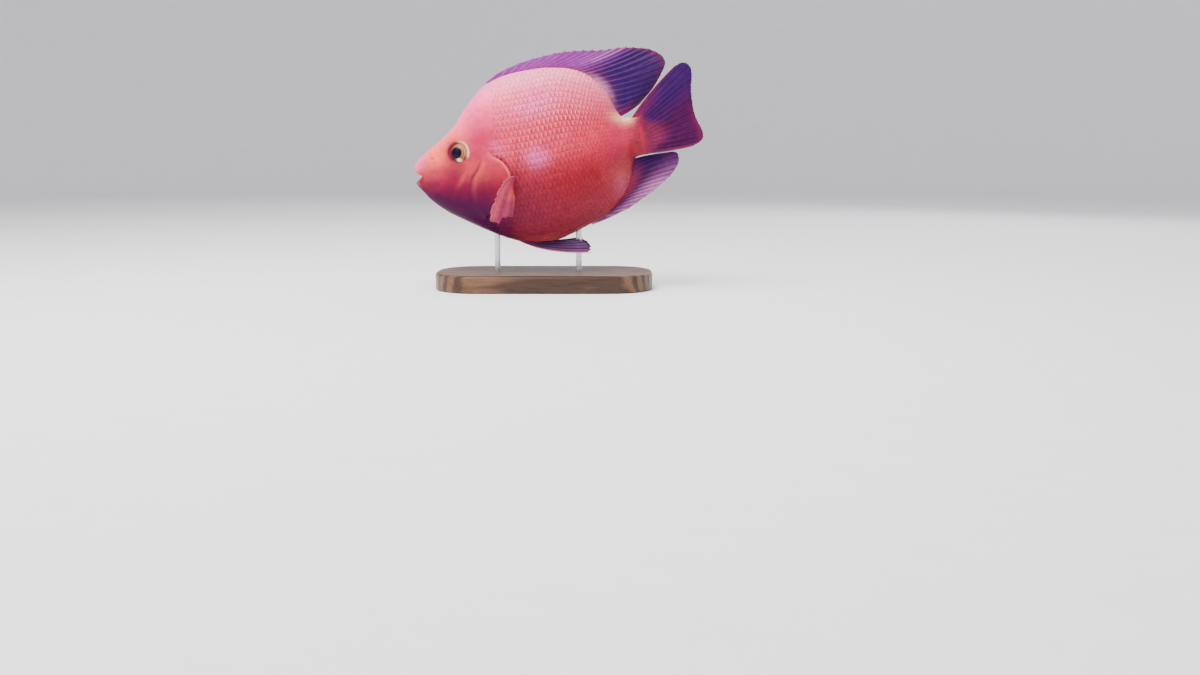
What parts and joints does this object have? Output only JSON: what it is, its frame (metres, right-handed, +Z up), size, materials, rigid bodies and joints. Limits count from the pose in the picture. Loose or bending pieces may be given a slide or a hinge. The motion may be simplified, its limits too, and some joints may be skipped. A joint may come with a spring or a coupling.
{
  "type": "blood parrot cichlid display model",
  "caption": "Life-size blood parrot cichlid with a round body, open beak mouth and spread fins, swimming nose down on a plain wooden base with thin steel rods.",
  "frame": {"origin": "centre of the stand base's underside", "axes": "+X from the fish's head towards its tail, +Y towards its right flank, +Z up; the fish swims towards -X, pitched 10.3 degrees nose down"},
  "size_m": [0.1971, 0.0802, 0.1646],
  "materials": {
    "torso_skin": "satin, coral to pale pink",
    "head_skin": "satin, orange to rose",
    "gill_cover_skin": "satin, rose",
    "fin_membrane": "translucent, plum to rose",
    "eye": "wet gloss, gold iris and black pupil",
    "walnut": "satin oil",
    "steel": "brushed"
  },
  "bodies": {
    "root": {"head": "head_skin", "gill_cover_left": "gill_cover_skin", "gill_cover_right": "gill_cover_skin", "torso": "torso_skin", "tail_peduncle": "torso_skin", "eye_left": "eye", "eye_right": "eye", "dorsal_fin": "fin_membrane", "anal_fin": "fin_membrane", "caudal_fin": "fin_membrane", "pectoral_fin_left": "fin_membrane", "pectoral_fin_right": "fin_membrane", "pelvic_fin_left": "fin_membrane", "pelvic_fin_right": "fin_membrane", "stand_base": "walnut", "stand_rod_front": "steel", "stand_rod_rear": "steel"}
  },
  "joints": []
}
